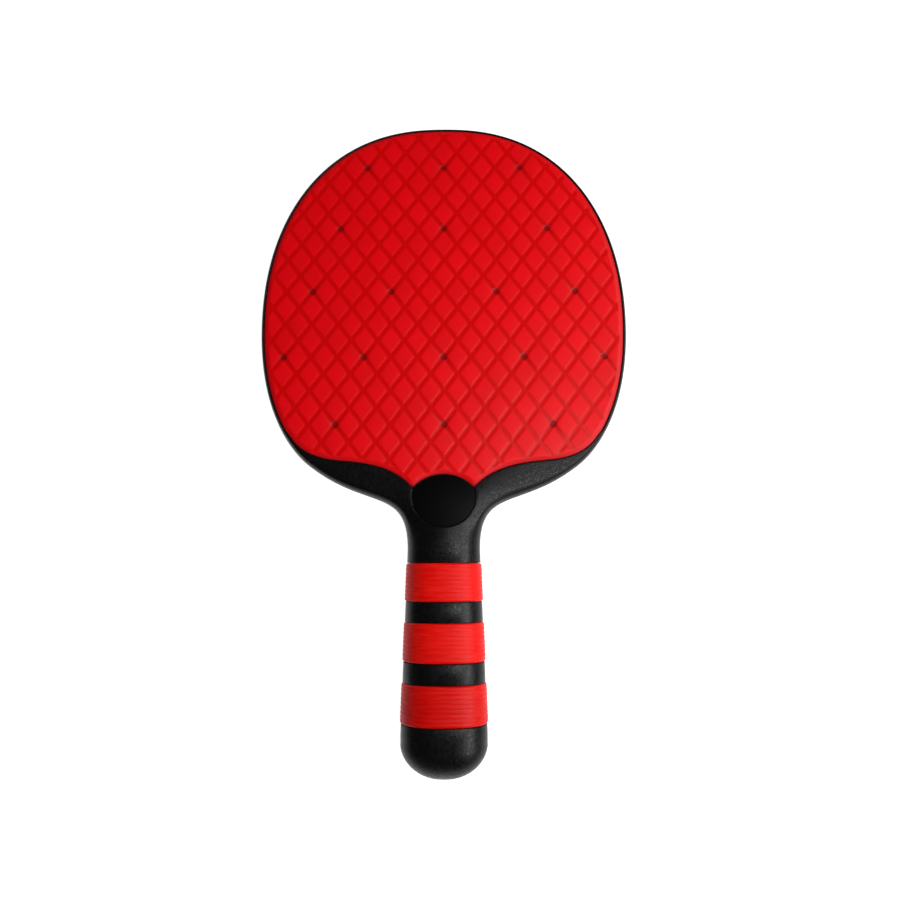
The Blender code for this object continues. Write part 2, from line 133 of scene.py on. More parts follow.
# Channels in the grip and the bands in them
BAND_HEIGHT = 0.0146
BAND_PITCH = 0.0220
LOWEST_BAND = 0.0269
BAND_CENTRES = [LOWEST_BAND + BAND_PITCH * index for index in range(3)]
BAND_SEAT = 0.0010
CHANNEL_LIP = 0.0002
CHANNEL_MID_LIP = 0.3 * CHANNEL_LIP
SECTION_UNDER_CHANNEL = 0.004
BAND_CREST = 0.00040
BAND_VALLEY = 0.00027
BAND_SEAM = 0.00015
BAND_END_RADIUS = 0.0013
BAND_END_SINK = 0.0003
VALLEY_POWER = 6

# Round scoop at the throat and the badge in it, on a plane that rises gently towards the grip
BADGE_CENTRE = 0.1037
BADGE_HEIGHT = 0.0055
BADGE_SLOPE = math.tan(math.radians(6.0))
BADGE_LEDGE = 0.00012
BADGE_POCKET = 0.0013
BADGE_SEAM = 0.00005
BADGE_THICKNESS = 0.0010

# Where the run of the shell's surface lines changes from one stretch of its edge to the next
LINES_REACH_SCOOP_AT = 0.0898
LINES_REACH_CUSP_AT = 0.0290
LINES_REACH_SWEEP_END_AT = 0.0460
LINES_REACH_CORNER_AT = 0.0620

# How finely the shells are drawn
EDGE_STEPS = 240
HEAD_STEPS = 600
RUN_STEPS = 60
CORNER_RUN_STEPS = 40
SCALLOP_WALL_STEPS = 40
BUTT_LINES = 14
NECK_LINES = 9
SCOOP_LINES = 40
SWEEP_LINES = 36
CORNER_LINES = 18
JOINING_LINES = 5
RIM_LINES = 110
SURFACE_STEPS = 26
LIP_STEPS = 4
PARTING_CHAMFER = 0.00012
MERGE_DISTANCE = 2e-6
SAME_POINT = 1e-6

# How finely the pads, bands and badge are drawn
SEAT_SCALLOP_STEPS = 32
SEAT_SWEEP_STEPS = 26
SEAT_CORNER_STEPS = 16
SEAT_RIM_STEPS = 96
LONG_SCALLOP_STEP = 4
LONG_SWEEP_STEP = 3
BEVEL_RINGS = (0.00008, 0.00025, 0.0006, 0.0010, 0.0014)
RING_OUTSIDE_CREASE = 0.00015
RING_INSIDE_CREASE = 0.0002
LAST_RING = 0.0025
GROOVE_CUTS = (GROOVE_FLOOR, 0.55, 0.78, 1.0, 1.22, 1.42, 1.62)
PER_RIB = 12
BAND_POINTS = 120
BADGE_SCOOP_STEPS = 40
BADGE_EDGE_SEGMENTS = 3
SMOOTH_ANGLE = math.radians(35)
QUARTER_TURN = math.radians(90)

# Softboxes, which all face the racket's middle: place, width and height
SOFTBOXES = {
    "strip": ((0.60, -0.02, 0.60), 1.07, 0.17),
    "near": ((0.107, -0.005, 0.31), 0.07, 0.07),
    "low": ((0.35, -0.35, 0.34), 0.25, 0.25),
}

# Camera, placed in the racket's own axes, and then turned about its own by these degrees, in this order
CAMERA_PLACE = (0.00376, 0.0758, 0.2586)
CAMERA_TURNS = {"Y": 0.28, "X": 10.3, "Z": -0.16}
CAMERA_LENS = 26.2
SENSOR_WIDTH = 36.0
NEAREST_SEEN = 0.01

# The range that most values of a noise lie in
NOISE_RANGE = {"From Min": 0.3, "From Max": 0.7}


def linear_colour(hex_code):
    """Turns an sRGB hex value into the linear colour that a material holds."""
    channels = []
    for place in (0, 2, 4):
        value = int(hex_code[place : place + 2], 16) / 255
        channels.append(value / 12.92 if value <= 0.04045 else ((value + 0.055) / 1.055) ** 2.4)
    return channels


def mix(first, second, share):
    return first + (second - first) * share


def smooth_between(start, end, value):
    """0 before start, 1 after end and a smooth change between them."""
    share = min(max((value - start) / (end - start), 0.0), 1.0)
    return share * share * (3 - 2 * share)


def mirrored(right_half):
    """Closes an outline whose right half runs from the centre line to the centre line."""
    left_half = [Vector((-point.x, point.y)) for point in reversed(right_half[1:-1])]
    return right_half + left_half


def inset(outline, distance):
    """Moves each point of an anticlockwise closed outline inwards by a distance, with mitred corners."""
    moved = []
    for index, point in enumerate(outline):
        arriving = (point - outline[index - 1]).normalized()
        leaving = (outline[(index + 1) % len(outline)] - point).normalized()
        inward = Vector((-arriving.y - leaving.y, arriving.x + leaving.x)).normalized()
        slant = inward.dot(Vector((-arriving.y, arriving.x)))
        moved.append(point + inward * (distance / slant))
    return moved


def spaced(points, count):
    """Evenly spaced points along a run of points."""
    lengths = [0.0]
    for first, second in zip(points, points[1:]):
        lengths.append(lengths[-1] + (second - first).length)
    result = []
    segment = 0
    for step in range(count + 1):
        reach = lengths[-1] * step / count
        while segment < len(points) - 2 and lengths[segment + 1] < reach:
            segment += 1
        share = (reach - lengths[segment]) / (lengths[segment + 1] - lengths[segment])
        result.append(points[segment].lerp(points[segment + 1], share))
    return result


def arc(centre, radius, start, end, steps):
    """Points on a circle, with angles in degrees."""
    angles = [math.radians(mix(start, end, step / steps)) for step in range(steps + 1)]
    return [Vector((centre[0] + radius * math.cos(a), centre[1] + radius * math.sin(a))) for a in angles]


def curve_between(knot_a, handle_a, handle_b, knot_b, steps):
    corners = [Vector(corner) for corner in (knot_a, handle_a, handle_b, knot_b)]
    points = interpolate_bezier(*corners, steps + 1)
    return [Vector((point.x, point.y)) for point in points]


def blade_edge():
    """Right half of the outline from the neck to the top of the head, in short steps."""
    neck_knots = ((NECK_HALF, NECK_AT), (NECK_HALF, NECK_AT + NECK_HANDLE))
    neck = curve_between(*neck_knots, SHOULDER_INNER_HANDLE, SHOULDER_POINT, EDGE_STEPS)
    side_knots = ((HALF_BLADE, WIDEST_AT - SIDE_HANDLE), (HALF_BLADE, WIDEST_AT))
    side = curve_between(SHOULDER_POINT, SHOULDER_OUTER_HANDLE, *side_knots, EDGE_STEPS)
    head = []
    for step in range(1, HEAD_STEPS + 1):
        angle = QUARTER_TURN * step / HEAD_STEPS
        across = HALF_BLADE * max(math.cos(angle), 0.0) ** (2 / HEAD_WIDTH_POWER)
        along = WIDEST_AT + (LENGTH - WIDEST_AT) * math.sin(angle) ** (2 / HEAD_LENGTH_POWER)
        head.append(Vector((across, along)))
    head[-1].x = 0.0
    return neck + side[1:] + head


BLADE_EDGE = blade_edge()


def grip_size(y):
    """Half width and half thickness of the grip at a distance from the butt."""
    rounding = math.sqrt(max(1 - max((BUTT_DEPTH - y) / BUTT_DEPTH, 0.0) ** 2, 0.0))
    along = max(y - BUTT_DEPTH, 0.0) / (NECK_AT - BUTT_DEPTH)
    width = mix(BUTT_HALF, NECK_HALF, min(along, 1.0))
    depth = mix(GRIP_BUTT_DEPTH, GRIP_NECK_DEPTH, min(along, 1.0))
    return width * rounding, depth * rounding


def outline_half_width(y):
    """Half the racket's width at a distance from the butt, up to where the crown has gone."""
    if y <= NECK_AT:
        return grip_size(y)[0]
    for lower, upper in zip(BLADE_EDGE, BLADE_EDGE[1:]):
        if lower.y <= y <= upper.y:
            return mix(lower.x, upper.x, (y - lower.y) / (upper.y - lower.y))
    return 0.0


def surface_height(point, from_edge, sunk=0.0):
    """Height of the moulded skin over the middle plane; sunk is how far a band's channel is cut into it."""
    x, y = point
    ridge = mix(grip_size(y)[1], RIM_HEIGHT, smooth_between(SWELL_START, SWELL_END, y)) + sunk
    blade_share = smooth_between(SWELL_START, CROWN_END, y)
    crown = 0.0
    if blade_share < 1:
        across = min(abs(x) / max(outline_half_width(y) + sunk, 1e-6), 1.0)
        crown = ridge * (1 - across**GRIP_POWER) ** (1 / GRIP_POWER)
    swell_half = mix(SWELL_NECK_HALF, SWELL_BLADE_HALF, smooth_between(SWELL_START, SWELL_END, y))
    swell = mix(ridge, RIM_HEIGHT, smooth_between(0.0, swell_half, abs(x)))
    slimmer = smooth_between(SHOULDER_EDGE_END, RIM_EDGE_START, y)
    edge_radius = mix(SHOULDER_EDGE_RADIUS, RIM_EDGE_RADIUS, slimmer)
    rounding = math.sqrt(1 - (1 - min(from_edge / edge_radius, 1.0)) ** 2)
    return max(LAND, mix(crown, swell * rounding, blade_share))


def badge_plane(y):
    """Height of the scoop's flat floor, which the badge's face is level with."""
    return BADGE_HEIGHT - (y - BADGE_CENTRE) * BADGE_SLOPE


def scallop_run(steps):
    """The pad's edge over the badge, from the right cusp over the centre line to the left cusp."""
    centre = (0.0, SCALLOP_TOP - SCALLOP_RADIUS)
    return arc(centre, SCALLOP_RADIUS, 90 - SCALLOP_HALF_ANGLE, 90 + SCALLOP_HALF_ANGLE, steps)


def half_scallop(skipped):
    """The scallop from the right cusp to the centre line, without its first few points."""
    run = scallop_run(SEAT_SCALLOP_STEPS)[skipped : SEAT_SCALLOP_STEPS // 2 + 1]
    run[-1].x = 0.0
    return run


def sweep_run(steps):
    """The pad's edge over the shoulder, from the cusp to where it is nearly level."""
    return curve_between(scallop_run(1)[0], SWEEP_CUSP_HANDLE, SWEEP_END_HANDLE, SWEEP_END, steps)


def corner_run(steps):
    """The pad's edge round its corner, from the sweep to the side of the head."""
    return curve_between(SWEEP_END, CORNER_START_HANDLE, CORNER_END_HANDLE, CORNER_END, steps)


def scoop_run(steps):
    """Edge of the round scoop, from the centre line on the grip's side to the right cusp."""
    cusp = scallop_run(1)[0] - Vector((0.0, BADGE_CENTRE))
    end = math.degrees(math.atan2(cusp.y, cusp.x))
    run = arc((0.0, BADGE_CENTRE), cusp.length, -90, end, steps)
    run[0].x = 0.0
    return run


def inside_rim(point):
    """The point on the pad's seat that lies across the rim from a point of the outline."""
    index = min(range(1, len(BLADE_EDGE) - 1), key=lambda place: (BLADE_EDGE[place] - point).length_squared)
    along = (BLADE_EDGE[index + 1] - BLADE_EDGE[index - 1]).normalized()
    inside = point + Vector((-along.y, along.x)) * RIM_WIDTH
    if point.x == 0.0:
        inside = Vector((0.0, point.y - RIM_WIDTH))
    return inside


def reaches(x=0.0, y=0.0):
    """A test of whether a point is at least this far from the centre line and from the butt."""
    return lambda point: point.x >= x and point.y >= y


def edge_stretch(start_test, end_test=lambda point: False):
    """The part of the blade's edge between the first points that pass two tests, or up to its end."""
    start = next(index for index, point in enumerate(BLADE_EDGE) if start_test(point))
    end = next((index for index, point in enumerate(BLADE_EDGE) if end_test(point)), len(BLADE_EDGE) - 1)
    return BLADE_EDGE[start : end + 1]


def seat_half():
    """Right half of the pad's seat, from the scallop's top to the top of the head.

    The steps next to the cusp are long, so that the rings of the pad's bevel don't cross there.
    """
    scallop = [*reversed(half_scallop(LONG_SCALLOP_STEP)), scallop_run(1)[0]]
    sweep = sweep_run(SEAT_SWEEP_STEPS)[LONG_SWEEP_STEP:]
    rim = spaced(edge_stretch(reaches(y=RIM_STARTS_AT)), SEAT_RIM_STEPS)
    return scallop + sweep + corner_run(SEAT_CORNER_STEPS)[1:] + [inside_rim(point) for point in rim]


Spoke = namedtuple("Spoke", "start edge sunk opening")


def grip_stations():
    """Where the grip has a section, from the butt's end to the neck, and how deep each one is sunk."""
    stations = []
    for step in range(BUTT_LINES):
        stations.append((BUTT_DEPTH * (1 - math.cos(QUARTER_TURN * step / BUTT_LINES)), 0.0))
    lip, mid_lip = CHANNEL_LIP, CHANNEL_MID_LIP
    for centre in BAND_CENTRES:
        lower, upper = centre - BAND_HEIGHT / 2, centre + BAND_HEIGHT / 2
        stations += [(lower - SECTION_UNDER_CHANNEL, 0.0), (lower - lip, 0.0), (lower - mid_lip, -mid_lip)]
        stations += [(lower, -lip), (lower, -BAND_SEAT), (centre, -BAND_SEAT), (upper, -BAND_SEAT)]
        stations += [(upper, -lip), (upper + mid_lip, -mid_lip), (upper + lip, 0.0)]
    return stations + [(NECK_AT, 0.0)]


def shell_spokes(lip):
    """Right half of the lines that the shell's skin is drawn on, each from the outline inwards."""
    spokes = []
    for y, sunk in grip_stations():
        spokes.append(Spoke(Vector((grip_size(y)[0] + sunk, y)), Vector((0.0, y)), sunk, None))
    scoop_bottom = scoop_run(1)[0].y - lip
    for step in range(1, NECK_LINES + 1):
        y = mix(NECK_AT, LINES_REACH_SCOOP_AT, step / NECK_LINES)
        edge = Vector((0.0, mix(NECK_AT, scoop_bottom, step / NECK_LINES)))
        spokes.append(Spoke(Vector((outline_half_width(y), y)), edge, 0.0, None))

    to_cusp = edge_stretch(reaches(y=LINES_REACH_SCOOP_AT), reaches(x=LINES_REACH_CUSP_AT))
    to_sweep_end = edge_stretch(reaches(x=LINES_REACH_CUSP_AT), reaches(x=LINES_REACH_SWEEP_END_AT))
    to_corner = edge_stretch(reaches(x=LINES_REACH_SWEEP_END_AT), reaches(x=LINES_REACH_CORNER_AT))
    joining = edge_stretch(reaches(x=LINES_REACH_CORNER_AT), reaches(y=RIM_STARTS_AT))
    join_ends = [corner_run(1)[-1], inside_rim(joining[-1])]
    rim_starts = spaced(edge_stretch(reaches(y=RIM_STARTS_AT)), RIM_LINES)[1:]
    stretches = [
        (spaced(to_cusp, SCOOP_LINES)[1:], spaced(scoop_run(RUN_STEPS), SCOOP_LINES - 1), "scoop"),
        (spaced(to_sweep_end, SWEEP_LINES)[1:], spaced(sweep_run(RUN_STEPS), SWEEP_LINES)[1:], "seat"),
        (spaced(to_corner, CORNER_LINES)[1:], spaced(corner_run(CORNER_RUN_STEPS), CORNER_LINES)[1:], "seat"),
        (spaced(joining, JOINING_LINES)[1:], spaced(join_ends, JOINING_LINES)[1:], "seat"),
        (rim_starts, [inside_rim(point) for point in rim_starts], "seat"),
    ]
    for starts, edges, opening in stretches:
        for start, edge in zip(starts, edges):
            spokes.append(Spoke(start, edge, 0.0, opening))
    return spokes


def both_halves(right_spokes):
    """Adds the mirrored left half, so that the spokes run once round the shell."""
    left = []
    for spoke in reversed(right_spokes[1:-1]):
        start, edge = (Vector((-point.x, point.y)) for point in (spoke.start, spoke.edge))
        left.append(Spoke(start, edge, spoke.sunk, spoke.opening))
    return right_spokes + left


def verts_of(geometry):
    return [item for item in geometry if isinstance(item, bmesh.types.BMVert)]


def point_tree(points):
    """A search tree of flat points."""
    tree = KDTree(len(points))
    for index, point in enumerate(points):
        tree.insert(point.to_3d(), index)
    tree.balance()
    return tree


def extrude_run(builder, edges, place):
    """Extrudes a run of edges and puts each new vertex where its spoke wants it. Returns the new run."""
    number = builder.verts.layers.int["spoke"]
    made = bmesh.ops.extrude_edge_only(builder, edges=edges)["geom"]
    fresh = set(verts_of(made))
    for vert in fresh:
        vert.co = place(vert[number])
    return [item for item in made if isinstance(item, bmesh.types.BMEdge) and set(item.verts) <= fresh]


def edge_finder(outline):
    """Makes a function that gives the distance from a point to the closed outline."""
    tree = point_tree(outline)

    def distance(point):
        nearest = tree.find(point.to_3d())[1]
        found = []
        for first in (nearest - 1, nearest):
            a, b = outline[first], outline[(first + 1) % len(outline)]
            share = intersect_point_line(point, a, b)[1]
            found.append((a.lerp(b, min(max(share, 0.0), 1.0)) - point).length)
        return min(found)

    return distance


def draw_shell(lip, with_pocket):
    """One shell: its skin on the spokes, rounded lips, the scoop's and the seat's walls, and flat floors."""
    spokes = both_halves(shell_spokes(lip))
    outline = [spoke.start for spoke in spokes]
    from_edge = edge_finder(outline)
    opening = [index for index, spoke in enumerate(spokes) if spoke.opening]
    bottom_twins = (opening[0], opening[-1])
    edge_loop = [spokes[index].edge for index in opening[:-1]]
    lip_loop = dict(zip(opening, inset(edge_loop, -lip)))
    lip_loop[bottom_twins[1]] = lip_loop[bottom_twins[0]]

    def on_skin(index, share):
        spoke = spokes[index]
        end = lip_loop.get(index, spoke.edge)
        point = spoke.start.lerp(end, share)
        height = surface_height(point, from_edge(point), spoke.sunk)
        return Vector((point.x, point.y, height))

    builder = bmesh.new()
    number = builder.verts.layers.int.new("spoke")
    first_run = []
    for index, point in enumerate(outline):
        vert = builder.verts.new((*point, LAND))
        vert[number] = index
        first_run.append(vert)
    outer = [builder.edges.new(pair) for pair in zip(first_run, first_run[1:] + first_run[:1])]

    run = outer
    for step in range(1, SURFACE_STEPS + 1):
        angle = QUARTER_TURN * step / SURFACE_STEPS
        share = 1 - max(math.cos(angle), 0.0) ** (2 / GRIP_POWER)
        run = extrude_run(builder, run, lambda index: on_skin(index, share))

    open_set = set(opening)
    run = [edge for edge in run if {vert[number] for vert in edge.verts} <= open_set]
    lip_height = {index: on_skin(index, 1.0).z for index in opening}
    for step in range(1, LIP_STEPS + 1):
        angle = QUARTER_TURN * step / LIP_STEPS

        def on_lip(index):
            point = spokes[index].edge.lerp(lip_loop[index], 1 - math.sin(angle))
            return Vector((point.x, point.y, lip_height[index] - lip * (1 - math.cos(angle))))

        run = extrude_run(builder, run, on_lip)

    scallop_ends = scallop_run(1)
    cusp_height = badge_plane(scallop_ends[0].y)

    def on_ledge(index):
        edge = spokes[index].edge
        height = badge_plane(edge.y)
        if spokes[index].opening == "seat":
            height = min(cusp_height, (lip_height[index] - lip + RECESS_FLOOR) / 2)
        return Vector((edge.x, edge.y, height))

    run = extrude_run(builder, run, on_ledge)
    seat_set = {index for index in opening if spokes[index].opening == "seat"}
    for end in scallop_ends:
        seat_set |= {index for index in opening if (spokes[index].edge - end).length < SAME_POINT}
    seat_run = [edge for edge in run if {vert[number] for vert in edge.verts} <= seat_set]
    extrude_run(builder, seat_run, lambda index: Vector((*spokes[index].edge, RECESS_FLOOR)))

    scallop = [builder.verts.new((*point, badge_plane(point.y))) for point in scallop_run(SCALLOP_WALL_STEPS)]
    scallop_edges = [builder.edges.new(pair) for pair in zip(scallop, scallop[1:])]
    for vert in verts_of(bmesh.ops.extrude_edge_only(builder, edges=scallop_edges)["geom"]):
        vert.co.z = RECESS_FLOOR

    foot = inset(outline, PARTING_CHAMFER)
    lower = extrude_run(builder, outer, lambda index: Vector((*outline[index], PARTING + PARTING_CHAMFER)))
    extrude_run(builder, lower, lambda index: Vector((*foot[index], PARTING)))

    bmesh.ops.remove_doubles(builder, verts=builder.verts, dist=MERGE_DISTANCE)
    borders = [edge for edge in builder.edges if edge.is_boundary]
    floors = bmesh.ops.holes_fill(builder, edges=borders, sides=0)["faces"]
    if with_pocket:
        floor = min(floors, key=lambda face: abs(face.calc_center_median().z - BADGE_HEIGHT))
        bmesh.ops.inset_region(builder, faces=[floor], thickness=BADGE_LEDGE, use_even_offset=True)
        bottom = verts_of(bmesh.ops.extrude_face_region(builder, geom=[floor])["geom"])
        bmesh.ops.translate(builder, verts=bottom, vec=(0.0, 0.0, -BADGE_POCKET))
        if floor.is_valid:
            bmesh.ops.delete(builder, geom=[floor], context="FACES_ONLY")
    bmesh.ops.recalc_face_normals(builder, faces=builder.faces)
    return builder


def groove_families():
    """The two directions across the grooves, and the distance between neighbouring grooves."""
    step = DIAMOND_WIDTH * DIAMOND_LENGTH / math.hypot(DIAMOND_WIDTH, DIAMOND_LENGTH)
    angle = math.atan2(DIAMOND_LENGTH, DIAMOND_WIDTH)
    across = [Vector((-math.sin(angle), math.cos(angle))), Vector((math.sin(angle), math.cos(angle)))]
    return across, step


def draw_pad(settings):
    """One pad: a bevelled plate with two families of rounded grooves and a pit at some of their crossings."""
    edge = inset(mirrored(seat_half()), SEAM)
    builder = bmesh.new()
    depth_in = builder.verts.layers.float.new("from_edge")
    groove_share = builder.verts.layers.float.new("groove")
    pit_share = builder.verts.layers.float.new("pit")
    base = builder.faces.new([builder.verts.new((*point, RECESS_FLOOR + GAP)) for point in edge])
    raised = bmesh.ops.extrude_face_region(builder, geom=[base])["geom"]
    skin = next(item for item in raised if isinstance(item, bmesh.types.BMFace))
    bmesh.ops.translate(builder, verts=list(skin.verts), vec=(0.0, 0.0, PAD_TOP - RECESS_FLOOR - GAP))
    top_faces = [skin]
    reached = 0.0
    crease = settings.chamfer_width
    for distance in (*BEVEL_RINGS, crease - RING_OUTSIDE_CREASE, crease + RING_INSIDE_CREASE, LAST_RING):
        width = distance - reached
        rim = bmesh.ops.inset_region(builder, faces=[skin], thickness=width, use_even_offset=True)
        top_faces += rim["faces"]
        reached = distance
        for vert in skin.verts:
            vert[depth_in] = distance
    geometry = set(top_faces)
    for face in top_faces:
        geometry.update(face.edges, face.verts)
    geometry = list(geometry)

    families, step = groove_families()
    half = settings.groove_width / 2
    cuts = [share * half for share in GROOVE_CUTS]
    centre = Vector((0.0, PATTERN_CENTRE))
    for across in families:
        for line in range(-PATTERN_LINES, PATTERN_LINES + 1):
            for offset in (*(-cut for cut in reversed(cuts)), 0.0, *cuts):
                point = centre + across * (step * line + offset)
                geometry = bmesh.ops.bisect_plane(
                    builder, geom=geometry, dist=1e-7, plane_co=point.to_3d(), plane_no=across.to_3d()
                )["geom"]

    crossings = [
        Vector((column * DIAMOND_WIDTH, PATTERN_CENTRE + row * DIAMOND_LENGTH))
        for row, columns in PIT_ROWS.items()
        for column in columns
    ]
    pits = point_tree(crossings)
    pit_floor, pit_rim = PIT_FLOOR * settings.pit_radius, PIT_SHOULDER * settings.pit_radius
    for vert in set(verts_of(geometry)):
        point = vert.co.xy
        rest = 1.0
        for across in families:
            aside = (point - centre).dot(across) / step
            aside = abs(aside - round(aside)) * step
            rest *= smooth_between(GROOVE_FLOOR * half, GROOVE_SHOULDER * half, aside)
        groove = (1 - rest) * smooth_between(GROOVE_BEGINS, GROOVE_IS_FULL, vert[depth_in])
        pit = 1 - smooth_between(pit_floor, pit_rim, pits.find(point.to_3d())[2])
        vert[groove_share] = groove
        vert[pit_share] = pit
        slope = settings.chamfer_drop * max(1 - vert[depth_in] / crease, 0.0)
        to_rounding = max(PAD_EDGE_RADIUS - vert[depth_in], 0.0)
        round_off = PAD_EDGE_RADIUS - math.sqrt(max(PAD_EDGE_RADIUS**2 - to_rounding**2, 0.0))
        sunk = max(settings.groove_depth * groove, settings.pit_depth * pit)
        vert.co.z = PAD_TOP - slope - round_off - sunk
    bmesh.ops.recalc_face_normals(builder, faces=builder.faces)
    return builder


def grip_section(angle, y, offset):
    """A point of the grip's section at an angle, grown or shrunk by an offset."""
    width, depth = (size + offset for size in grip_size(y))
    across = math.copysign(abs(math.cos(angle)) ** (2 / GRIP_POWER), math.cos(angle))
    up = math.copysign(abs(math.sin(angle)) ** (2 / GRIP_POWER), math.sin(angle))
    return Vector((width * across, y, depth * up))


def draw_band(centre, ribs, crest):
    """A ring round the grip with rounded ends, whose outside has fine ribs with narrow valleys between them."""
    half = BAND_HEIGHT / 2 - BAND_SEAM
    inside = BAND_SEAT - GAP
    steps = ribs * PER_RIB
    stations = [(centre - half, -inside)]
    for step in range(steps + 1):
        along = half * (2 * step / steps - 1)
        valley = abs(math.cos(math.pi * ribs * step / steps)) ** VALLEY_POWER
        rounding = math.sqrt(1 - (1 - min((half - abs(along)) / BAND_END_RADIUS, 1.0)) ** 2)
        stations.append((centre + along, mix(-BAND_END_SINK, mix(crest, BAND_VALLEY, valley), rounding)))
    stations.append((centre + half, -inside))
    builder = bmesh.new()
    number = builder.verts.layers.int.new("spoke")
    circle = bmesh.ops.create_circle(builder, segments=BAND_POINTS, radius=1.0)["verts"]
    angles = []
    for index, vert in enumerate(circle):
        vert[number] = index
        angles.append(math.atan2(vert.co.y, vert.co.x))
        vert.co = grip_section(angles[-1], *stations[0])
    first = run = list(builder.edges)
    for y, offset in stations[1:]:
        run = extrude_run(builder, run, lambda index: grip_section(angles[index], y, offset))
    bmesh.ops.bridge_loops(builder, edges=first + run)
    bmesh.ops.recalc_face_normals(builder, faces=builder.faces)
    return builder


def draw_badge(edge_radius):
    """A flat disc whose top follows the pad's scallop, with a small rounded edge."""
    right = scoop_run(BADGE_SCOOP_STEPS) + half_scallop(1)
    outline = inset(mirrored(right), BADGE_LEDGE + BADGE_SEAM)
    builder = bmesh.new()
    base = builder.faces.new([builder.verts.new((*point, badge_plane(point.y))) for point in outline])
    bottom = verts_of(bmesh.ops.extrude_face_region(builder, geom=[base])["geom"])
    bmesh.ops.translate(builder, verts=bottom, vec=(0.0, 0.0, -BADGE_THICKNESS))
    bmesh.ops.recalc_face_normals(builder, faces=builder.faces)
    face = max(builder.faces, key=lambda item: (len(item.verts), item.calc_center_median().z))
    bevel = {"segments": BADGE_EDGE_SEGMENTS, "profile": 0.5, "affect": "EDGES", "material": -1}
    bmesh.ops.bevel(builder, geom=list(face.edges), offset=edge_radius, **bevel)
    bmesh.ops.recalc_face_normals(builder, faces=builder.faces)
    return builder


def lying_matrix():
    """How the racket lies: from its own axes to the frame's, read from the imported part's front face."""
    face = next(mount for mount in frame["record"]["mounts"] if mount["name"] == "front_face")
    turn = Matrix.Rotation(-math.atan2(face["axis"][1], face["axis"][2]), 4, "X")
    on_face = turn @ Vector((0.0, PATTERN_CENTRE + DIAMOND_LENGTH / 2, PAD_TOP))
    return Matrix.Translation(Vector(face["pos_m"]) - on_face) @ turn


LYING = lying_matrix()
TURNED_OVER = LYING @ Matrix.Rotation(math.pi, 4, "Y")


def add_object(name, data):
    """Links a new object, in place of any older one with that name."""
    if name in bpy.data.objects:
        bpy.data.objects.remove(bpy.data.objects[name], do_unlink=True)
    item = bpy.data.objects.new(name, data)
    bpy.context.scene.collection.objects.link(item)
    return item


def add_piece(name, builder, placing, material, node):
    """Makes a drawing into a piece of the racket that stands for a node of the part."""
    mesh = bpy.data.meshes.new(name)
    builder.to_mesh(mesh)
    mesh.transform(placing)
    mesh.shade_smooth()
    mesh.set_sharp_from_angle(angle=SMOOTH_ANGLE)
    mesh.materials.append(material)
    piece = add_object(name, mesh)
    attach(piece, "root")
    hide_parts(node)


def add_node(tree, kind, links=None, values=None, **settings):
    """Adds one node, with its settings, the values of its inputs and the links to them."""
    node = tree.nodes.new(kind)
    for name, value in settings.items():
        setattr(node, name, value)
    for name, value in (values or {}).items():
        node.inputs[name].default_value = value
    for name, source in (links or {}).items():
        tree.links.new(source, node.inputs[name])
    return node


def new_material(name):
    """An empty material, add_node for its tree, and the place on the piece that its patterns read."""
    material = bpy.data.materials.get(name) or bpy.data.materials.new(name)
    material.use_nodes = True
    material.node_tree.nodes.clear()
    add = partial(add_node, material.node_tree)
    return material, add, {"Vector": add("ShaderNodeTexCoord").outputs["Object"]}


def per_millimetres(size):
    """Scale of a pattern in metres whose features are this many millimetres across."""
    return 1000 / size


def opaque(colour):
    return (*colour, 1.0)


def spark_textured_abs(settings):
    """ABS moulded in a spark-eroded tool.

    The eye sees a deep black skin with a fine even grain: highlights are satin and break into a soft mottle,
    and parts that the hand rubs most are a little smoother.
    """
    material, add, place = new_material("spark_textured_abs")
    # The real grain is about 0.15 mm across. That is under half a pixel, so it is drawn four times as coarse.
    fine = {"Scale": per_millimetres(settings.grain_size), "Detail": 2.0, "Roughness": 0.65}
    grain = add("ShaderNodeTexNoise", place, fine)
    soft = {"Scale": per_millimetres(1.1), "Detail": 3.0, "Roughness": 0.7}
    mottle = add("ShaderNodeTexNoise", place, soft).outputs["Fac"]
    broad_change = add("ShaderNodeTexNoise", place, {"Scale": per_millimetres(34.0), "Detail": 2.0})
    span = {**NOISE_RANGE, "To Min": settings.roughness - 0.13, "To Max": settings.roughness + 0.13}
    shine = add("ShaderNodeMapRange", {"Value": mottle}, span)
    span = {"From Min": 0.35, "From Max": 0.7, "To Min": 0.93, "To Max": 1.06}
    worn = add("ShaderNodeMapRange", {"Value": broad_change.outputs["Fac"]}, span)
    factors = {0: shine.outputs["Result"], 1: worn.outputs["Result"]}
    roughness = add("ShaderNodeMath", factors, operation="MULTIPLY")
    tones = {"A": opaque(settings.colour), "B": opaque(settings.light_colour)}
    tone = add("ShaderNodeMix", {"Factor": mottle}, tones, data_type="RGBA")
    relief = add("ShaderNodeBump", {"Height": grain.outputs["Fac"]}, {"Strength": 0.9, "Distance": 0.00008})
    surface = {
        "Base Color": tone.outputs["Result"],
        "Roughness": roughness.outputs["Value"],
        "Normal": relief.outputs["Normal"],
    }
    shader = add("ShaderNodeBsdfPrincipled", surface, {"IOR": 1.32, "Metallic": 0.0})
    add("ShaderNodeOutputMaterial", {"Surface": shader.outputs["BSDF"]})
    return material


